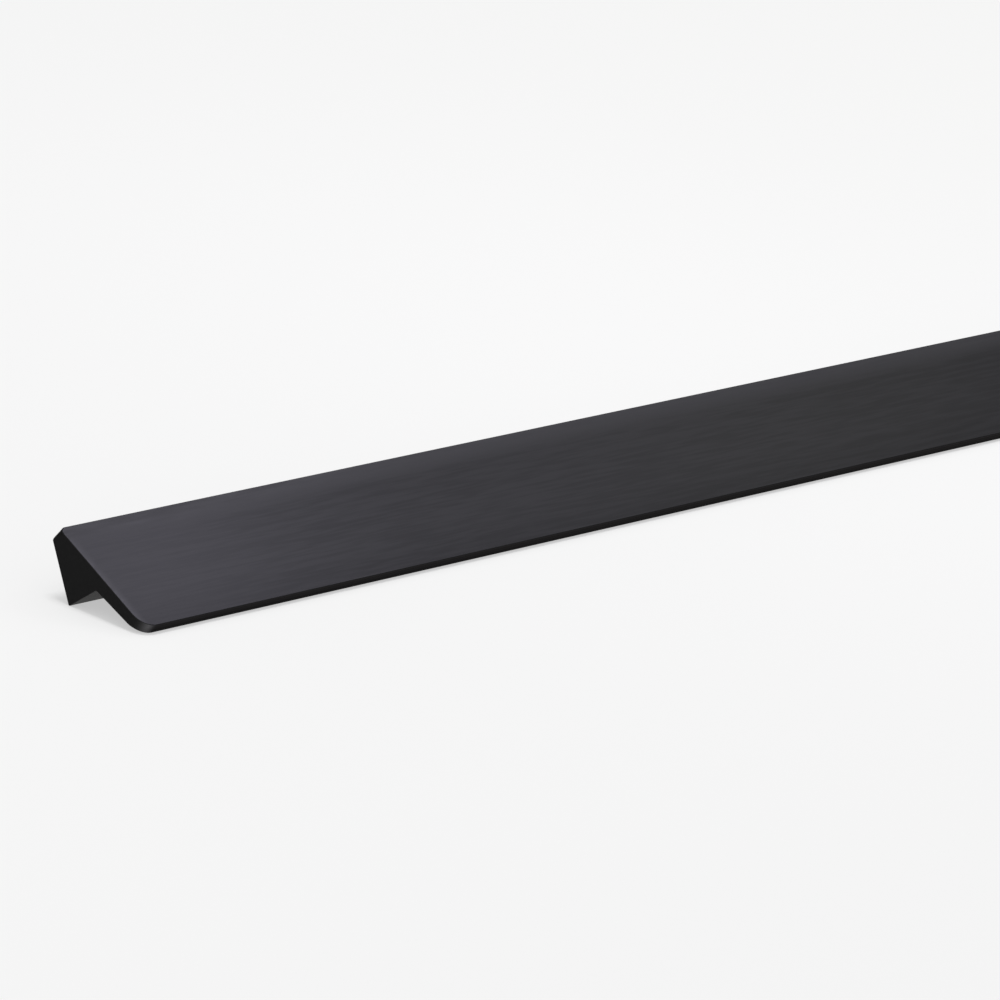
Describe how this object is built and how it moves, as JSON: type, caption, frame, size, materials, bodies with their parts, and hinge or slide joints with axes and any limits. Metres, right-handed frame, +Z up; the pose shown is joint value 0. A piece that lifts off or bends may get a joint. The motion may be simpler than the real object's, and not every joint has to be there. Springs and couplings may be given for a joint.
{
  "type": "finger pull profile",
  "caption": "Black brushed aluminium finger pull profile: a sloping plate with a rounded-corner lip, a solid wedge-shaped root behind it and a finger recess under the lip.",
  "frame": {"origin": "on the floor below the middle of the piece as it lies face up", "axes": "+X along the profile, the lip towards -Y, +Z up"},
  "size_m": [0.596, 0.0376, 0.0205],
  "materials": {
    "black_anodised": "black anodised, brushed along the length"
  },
  "bodies": {
    "root": {"pull_profile": "black_anodised"}
  },
  "joints": []
}
